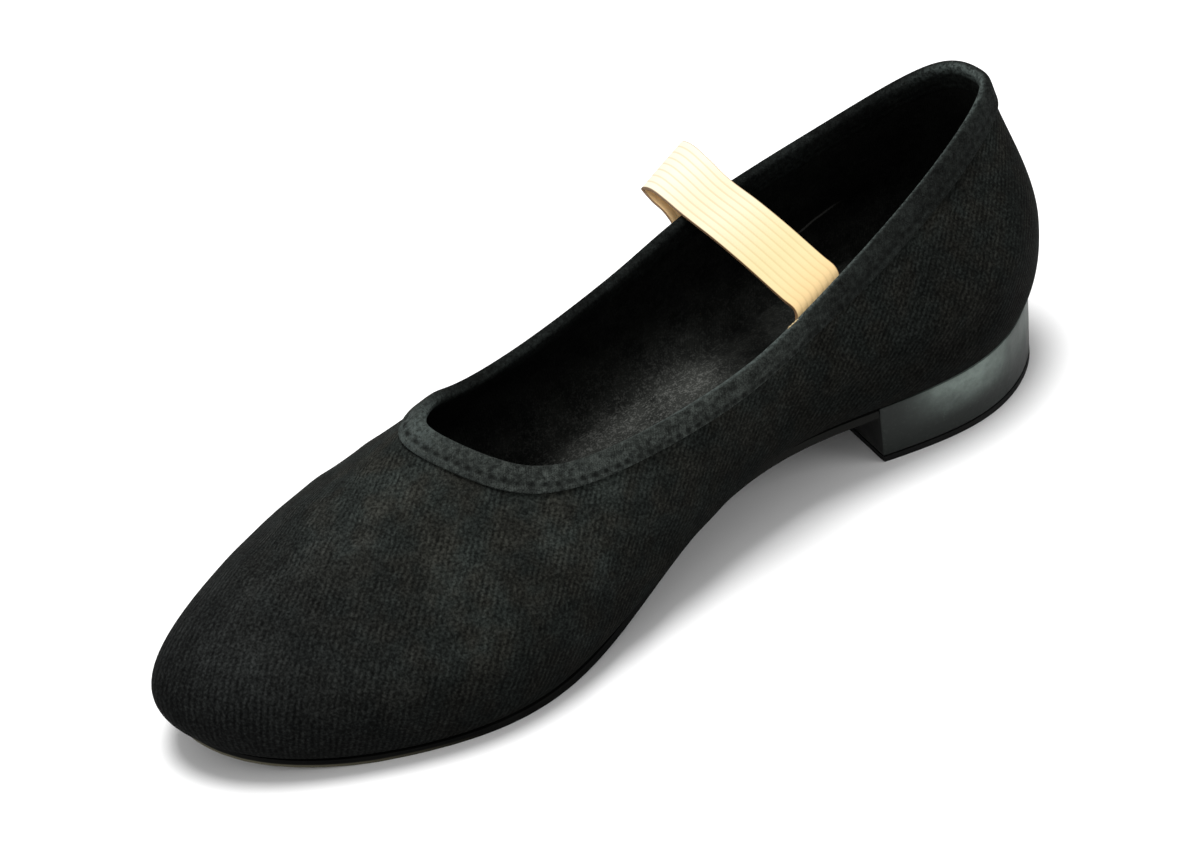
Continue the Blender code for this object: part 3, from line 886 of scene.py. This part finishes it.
def makeStitch(length, radius):
    # one flattened stitch, sunk at both ends
    bpy.ops.mesh.primitive_uv_sphere_add(segments=8, ring_count=8, radius=radius, location=(0, 0, 0))
    stitch = bpy.context.object
    bpy.ops.object.mode_set(mode="EDIT")
    bpy.ops.mesh.select_all(action="SELECT")
    bpy.ops.transform.resize(value=(length / (2 * radius), 1.0, 0.75))
    bpy.ops.object.mode_set(mode="OBJECT")
    points = pointsOf(stitch)
    share = points[:, 0] / (length / 2)
    points[:, 2] -= radius * share**2
    setPoints(stitch, points)
    return stitch


def sewRow(name, places, length, radius):
    # copies of one stitch, each with its run direction and the cloth's normal
    stitch = makeStitch(length, radius)
    row = bmesh.new()
    for point, along, out in places:
        side = out.cross(along).normalized()
        turn = Matrix((along.normalized(), side, out.normalized())).transposed().to_4x4()
        mesh = stitch.data.copy()
        mesh.transform(Matrix.Translation(point) @ turn)
        row.from_mesh(mesh)
        bpy.data.meshes.remove(mesh)
    row.to_mesh(stitch.data)
    row.free()
    stitch.name = name
    return stitch


def sewBinding(tape):
    surface = surfaceOf(tape)
    line = collarLine
    lengths = np.linalg.norm(np.diff(line, axis=0), axis=1)
    run = np.concatenate([[0.0], np.cumsum(lengths)])
    count = int(run[-1] / binding["stitchPitch"])
    middle = line.mean(axis=0)
    places = []
    for i in range(count):
        wanted = (i + 0.5) * run[-1] / count
        point = np.array([np.interp(wanted, run, line[:, k]) for k in range(3)])
        ahead = np.array([np.interp((wanted + 0.5 * mm) % run[-1], run, line[:, k]) for k in range(3)])
        along = Vector(ahead - point).normalized()
        out = along.cross(Vector((0, 0, 1))).normalized()
        if out.dot(Vector(point - middle)) < 0:
            out = -out
        # down the outer leg, step by step, as the tape turns with the wall
        edge = Vector(point)
        hit, normal, _, _ = surface.find_nearest(edge + out * binding["legOffset"])
        while (hit - edge).length < binding["stitchDepth"]:
            down = normal.cross(along).normalized()
            if down.z > 0:
                down = -down
            hit, normal, _, _ = surface.find_nearest(hit + down * binding["searchStep"])
        places.append((hit + normal * binding["threadLift"], along, normal))
    row = sewRow("collarStitches", places, binding["stitchLength"], binding["threadRadius"])
    finishPiece(row, [], [threadMaterial("blackThread", binding["thread"])])


collarBinding = makeBinding()
sewBinding(collarBinding)
print("binding made and sewn")


# Insole

insole = {
    "border": 1.2 * mm,
    # where the foot has pressed it: share of the length, then side, reach and depth in millimetres
    "trodden": [(0.17, 0, 18, 0.35), (0.70, -12, 16, 0.35), (0.74, 14, 14, 0.25)],
}


def insoleMaterial():
    material, shader, place = newMaterial("speckledSock", roughness=0.95, specular=0.04)
    speckle = useGroup(sockSpeckle, Vector=place, Rubbed=attribute("rubbed"))
    feed(shader["Base Color"], speckle["Colour"])
    feed(shader["Normal"], bump(speckle["Height"], distance=0.25 * mm))
    return material


def makeInsole():
    piece = copyOfNode("insole", "insoleSock")
    insetFaces(piece, lambda normal: normal.z > 0.6, insole["border"])
    splitLongEdges(piece, limit=6 * mm)
    creaseSharpEdges(piece, degrees=50, amount=0.7)
    smoothOut(piece, levels=1)
    points, normals = pointsOf(piece), normalsOf(piece)
    share = (points[:, 0] - cadBox[0].x) / shoeLength
    top = np.clip(normals[:, 2], 0, 1)
    tread = np.zeros(len(points))
    for along, side, reach, deep in insole["trodden"]:
        gap = np.hypot((share - along) * shoeLength, points[:, 1] - shoeMiddle.y - side * mm)
        tread += deep * mm * np.exp(-(gap / (reach * mm))**2)
    points[:, 2] -= tread * top
    setPoints(piece, points)
    setAttribute(piece, "rubbed", rubbedShare(points))
    finishPiece(piece, ["insole"], [insoleMaterial()], angle=50)


makeInsole()
print("insole made")


# Outsole

outsole = {
    "rubber": (0.0030, 0.0031, 0.0030),
    "worn": (0.0170, 0.0172, 0.0152),
    "lowerEdge": (0.1050, 0.0980, 0.0700),
    "paleSpan": (60 * mm, 98 * mm),    # forward of the middle, the lower edge turns pale
    "rimSpan": (1.00 * mm, 0.50 * mm),
    "archSpan": (22 * mm, -12 * mm),
    "border": 1.0 * mm,
}


def outsoleMaterial():
    material, shader, place = newMaterial("soleRubber", roughness=0.80, specular=0.03)
    grain = useGroup(fineGrain, Vector=place, Size=900.0)
    dust = useGroup(softDust, Vector=place, Patch=40.0, Speck=900.0)
    axes = axesOf(place)
    # under the arch it is paler, about as pale as the cloth above it
    arch = times(between(axes["X"], *outsole["archSpan"]), 0.40)
    worn = timesPlus(dust["Patches"], 0.25, arch, clamp=True)
    colour = blendColours(worn, outsole["rubber"], outsole["worn"])
    rim = between(attribute("fromArris"), *outsole["rimSpan"])
    atToe = between(axes["X"], *outsole["paleSpan"])
    pale = times(rim, times(atToe, 0.80))
    colour = blendColours(pale, colour, outsole["lowerEdge"])
    feed(shader["Base Color"], colour)
    feed(shader["Roughness"], timesPlus(dust["Patches"], 0.2, 0.6))
    feed(shader["Normal"], bump(grain["Height"], distance=0.10 * mm))
    return material


def fromUnderside(piece):
    # distance of each point from the edge round the faces that look down
    points = pointsOf(piece)
    sides = {}
    for face in piece.data.polygons:
        for ends in face.edge_keys:
            sides.setdefault(ends, set()).add(face.normal.z < -0.6)
    distance = np.ones(len(points))
    for ends in [key for key, found in sides.items() if len(found) == 2]:
        gap, _ = nearestOnLine(points, points[list(ends)])
        distance = np.minimum(distance, gap)
    return distance


def makeOutsole():
    piece = copyOfNode("outsole", "halfSole")
    insetFaces(piece, lambda normal: abs(normal.z) > 0.6, outsole["border"])
    splitLongEdges(piece, limit=5 * mm)
    creaseSharpEdges(piece, degrees=50, amount=0.75)
    smoothOut(piece, levels=1)
    setAttribute(piece, "fromArris", fromUnderside(piece))
    finishPiece(piece, ["outsole"], [outsoleMaterial()], angle=50)


makeOutsole()
print("outsole made")


# Heel and its top piece

heel = {
    "lacquer": (0.0095, 0.0118, 0.0106),
    "cloud": (0.1420, 0.1740, 0.1580),
    "scuff": (0.1300, 0.1400, 0.1300),
    "breast": (0.0026, 0.0028, 0.0025),
    "heightSpan": (5 * mm, 17 * mm),    # height over which the painted sheen comes up
    "sideSpan": (3 * mm, 20 * mm),      # and the way back from the breast
    "rearSpan": (26 * mm, 42 * mm),
    # gain and start of what the rear, the patches and the mottle do to it
    "rearLoss": (-0.5, 1.0),
    "patchGain": (0.45, 0.50),
    "mottle": (1.30, 0.35),
    "scuffGain": (0.12, 0.04),
    "topPiece": (0.0040, 0.0040, 0.0040),
    "border": 0.8 * mm,
}


def heelMaterial():
    material, shader, place = newMaterial(
        "heelLacquer", roughness=0.5, coat=0.03, coatRoughness=0.4, specular=0.14)
    dust = useGroup(softDust, Vector=place, Patch=75.0, Speck=1200.0)
    grain = useGroup(fineGrain, Vector=place, Size=700.0)
    axes = axesOf(place)
    # painted sheen: lighter mottled clouds higher up the heel's side, back from the breast, fading to the rear
    high = between(axes["Z"], *heel["heightSpan"])
    fromBreast = maths("SUBTRACT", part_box("heel_block")[1].x, axes["X"])
    clouds = times(high, between(fromBreast, *heel["sideSpan"]))
    rear = between(fromBreast, *heel["rearSpan"])
    clouds = times(clouds, timesPlus(rear, *heel["rearLoss"]))
    clouds = times(clouds, timesPlus(dust["Patches"], *heel["patchGain"]))
    mottle = noise(place, 420.0, 5.0, 0.75)
    clouds = times(clouds, timesPlus(mottle, *heel["mottle"]))
    colour = blendColours(clouds, heel["lacquer"], heel["cloud"])
    scuffs = times(dust["Specks"], timesPlus(dust["Patches"], *heel["scuffGain"]))
    colour = blendColours(scuffs, colour, heel["scuff"])
    # painted shade: the breast, which faces forward, is painted darker
    colour = blendColours(attribute("breast"), colour, heel["breast"])
    feed(shader["Base Color"], colour)
    feed(shader["Roughness"], timesPlus(dust["Patches"], 0.16, 0.44))
    feed(shader["Normal"], bump(grain["Height"], distance=0.03 * mm))
    return material


def topPieceMaterial():
    material, shader, place = newMaterial("topPieceRubber", roughness=0.75, specular=0.12)
    grain = useGroup(fineGrain, Vector=place, Size=1100.0)
    dust = useGroup(softDust, Vector=place, Patch=60.0, Speck=1000.0)
    pale = times(dust["Patches"], 0.2)
    feed(shader["Base Color"], blendColours(pale, heel["topPiece"], outsole["worn"]))
    feed(shader["Normal"], bump(grain["Height"], distance=0.10 * mm))
    return material


def makeHeel():
    block = copyOfNode("heel_block", "heelBlock")
    splitLongEdges(block, limit=5 * mm)
    smoothOut(block, levels=1)
    setAttribute(block, "breast", smoothStep(0.75, 0.95, normalsOf(block)[:, 0]))
    finishPiece(block, ["heel_block"], [heelMaterial()], angle=50)
    lift = copyOfNode("heel_top_piece", "heelTopPiece")
    insetFaces(lift, lambda normal: abs(normal.z) > 0.6, heel["border"])
    splitLongEdges(lift, limit=5 * mm)
    creaseSharpEdges(lift, degrees=50, amount=0.8)
    smoothOut(lift, levels=1)
    finishPiece(lift, ["heel_top_piece"], [topPieceMaterial()], angle=50)


makeHeel()
print("heel made")


# Elastic strap

strap = {
    "ribs": 8,
    "ribDepth": 0.16 * mm,
    "cutsAcross": 11,
    "colour": (0.620, 0.530, 0.295),
    "bleached": (0.710, 0.680, 0.550),
    "groove": (0.500, 0.370, 0.180),
    "peach": (0.690, 0.480, 0.235),
    "underside": (0.900, 0.640, 0.330),
    "edge": (0.160, 0.070, 0.030),
    "bleachSpan": (-30 * mm, 12 * mm),    # across the shoe, from the painted overlit tone to full colour
    "outerSpan": (6 * mm, 24 * mm),
    "endSpan": (14 * mm, 1 * mm),         # from the collar, where the painted shade of the bend comes up
    "edgeSpan": (0.014, 0.001),           # shares of the width
    "slackSpan": (26 * mm, 30 * mm),      # inwards, where the slack end folds back
    "foldDrop": (1.0 * mm, 1.8 * mm),     # below the strap's top there
    "thread": (0.560, 0.420, 0.210),
    "seamMargin": 1.7 * mm,       # from the strap's edges to the box of stitches on its end
    "seamHeight": 5.6 * mm,
    "stitchPitch": 2.2 * mm,
    "stitchLength": 1.7 * mm,
    "threadRadius": 0.18 * mm,
    "threadLift": 0.02 * mm,
    "bartack": (-0.0397, 0.0289, 0.0531),    # where the front edge is tacked to the collar, in metres
    "bartackLength": 3.2 * mm,
    "bartackRun": (1, 0.08, -0.25),
    "bartackLift": 0.05 * mm,
}


def strapMaterial():
    material, shader, place = newMaterial("ribbedElastic", roughness=0.82, specular=0.2)
    across = attribute("across")
    fromCollar = attribute("fromCollar")
    phase = times(across, 2 * pi * strap["ribs"])
    wave = maths("COSINE", phase)
    groove = between(wave, 0.45, 1.0)
    fuzz = noise(place, 1500.0, 3.0, 0.6)
    patch = noise(place, 120.0, 2.0)
    axes = axesOf(place)
    # painted light: the strap is paler towards the inner side, where it is overlit
    kept = between(axes["Y"], *strap["bleachSpan"])
    colour = blendColours(kept, strap["bleached"], strap["colour"])
    # painted light on the faces that look down and inside the fold, as if lit through the thin elastic
    colour = blendColours(attribute("underside"), colour, strap["underside"])
    outerHalf = between(axes["Y"], *strap["outerSpan"])
    # painted shade of the bend near the outer end, with patches of the same tone at random
    nearEnd = between(fromCollar, *strap["endSpan"])
    nearEnd = times(nearEnd, timesPlus(outerHalf, 0.5, 0.3))
    peach = timesPlus(patch, 0.10, nearEnd)
    colour = blendColours(peach, colour, strap["peach"])
    colour = blendColours(times(groove, 0.42), colour, strap["groove"])
    # painted shade along both edges of the strap
    fromEdge = maths("MINIMUM", across, maths("SUBTRACT", 1.0, across))
    edge = between(fromEdge, *strap["edgeSpan"])
    colour = blendColours(times(edge, 0.80), colour, strap["edge"])
    feed(shader["Base Color"], colour)
    feed(shader["Normal"], bump(fuzz, distance=0.05 * mm))
    return material


def makeStrap():
    piece = copyOfNode("elastic_strap", "elasticStrap")
    mesh = bmesh.new()
    mesh.from_mesh(piece.data)
    layer = mesh.verts.layers.float.new("across")
    for vert in mesh.verts:
        # the edges that cross half the width lead from the middle to the borders
        beside = [e.other_vert(vert).co.x for e in vert.link_edges if e.calc_length() > 5 * mm]
        lean = vert.co.x - sum(beside) / len(beside)
        vert[layer] = 0.5
        if abs(lean) > 3 * mm:
            vert[layer] = 1.0 if lean > 0 else 0.0
    crosswise = [e for e in mesh.edges if abs(e.verts[0][layer] - e.verts[1][layer]) > 0.4]
    bmesh.ops.subdivide_edges(mesh, edges=crosswise, cuts=strap["cutsAcross"], use_grid_fill=True)
    mesh.to_mesh(piece.data)
    mesh.free()
    creaseSharpEdges(piece, degrees=60, amount=0.6)
    smoothOut(piece, levels=1)
    points, normals = pointsOf(piece), normalsOf(piece)
    shares = np.zeros(len(points), np.float32)
    piece.data.attributes["across"].data.foreach_get("value", shares)
    wave = np.cos(2 * pi * strap["ribs"] * shares)
    broad = np.clip(1 - np.abs(normals[:, 0]) * 1.5, 0, 1)
    sink = strap["ribDepth"] * np.clip((wave - 0.2) / 0.8, 0, 1) * broad
    setPoints(piece, points - normals * sink[:, None])
    fromCollar, _ = nearestOnLine(points, collarLine)
    setAttribute(piece, "fromCollar", fromCollar)
    # the lower run of the slack end shows its inner face under the fold
    rows = np.round(points[:, 1] / mm).astype(int) * 100 + np.round(shares * 12).astype(int)
    tops = {row: points[rows == row, 2].max() for row in np.unique(rows)}
    below = np.array([tops[row] for row in rows]) - points[:, 2]
    slack = smoothStep(*strap["slackSpan"], -points[:, 1]) * smoothStep(*strap["foldDrop"], below)
    slack *= smoothStep(-0.1, 0.3, normals[:, 1] + normals[:, 2])
    # painted light: these faces and those that look down are painted brighter
    setAttribute(piece, "underside", np.maximum(smoothStep(0.1, 0.5, -normals[:, 2]), slack))
    finishPiece(piece, ["elastic_strap"], [strapMaterial()], angle=60)
    return piece


def sewStrapEnd(piece):
    # a box of stitches on the end that is sewn outside the inner quarter
    surface = surfaceOf(piece)
    points = pointsOf(piece)
    low = points[:, 2].min()
    ending = points[points[:, 2] < low + strap["seamHeight"]]
    margin = strap["seamMargin"]
    left, right = ending[:, 0].min() + margin, ending[:, 0].max() - margin
    bottom, top = low + margin, low + margin + strap["seamHeight"]
    corners = [(left, bottom), (right, bottom), (right, top), (left, top), (left, bottom)]
    places = []
    for (x0, z0), (x1, z1) in zip(corners, corners[1:]):
        along = Vector((x1 - x0, 0, z1 - z0))
        count = max(1, round(along.length / strap["stitchPitch"]))
        for i in range(count):
            start = Vector((x0, -0.2, z0)) + along * (i + 0.5) / count
            hit, normal, _, _ = surface.ray_cast(start, Vector((0, 1, 0)))
            if hit:
                flat = along - normal * along.dot(normal)
                places.append((hit + normal * strap["threadLift"], flat.normalized(), normal))
    return places


def tackStrap(tape):
    # a short bar of thread inside the collar's edge, beside the strap
    surface = surfaceOf(tape)
    start = Vector(strap["bartack"])
    along = Vector(strap["bartackRun"]).normalized()
    places = []
    for i in range(3):
        hit, normal, _, _ = surface.find_nearest(start + along * (i - 0.5) * strap["bartackLength"] / 3)
        flat = (along - normal * along.dot(normal)).normalized()
        places.append((hit + normal * strap["bartackLift"], flat, normal))
    return places


def sewStrap(piece, tape):
    places = sewStrapEnd(piece) + tackStrap(tape)
    row = sewRow("strapStitches", places, strap["stitchLength"], strap["threadRadius"])
    finishPiece(row, [], [threadMaterial("tanThread", strap["thread"])])


elasticStrap = makeStrap()
sewStrap(elasticStrap, collarBinding)
print("strap made and sewn")
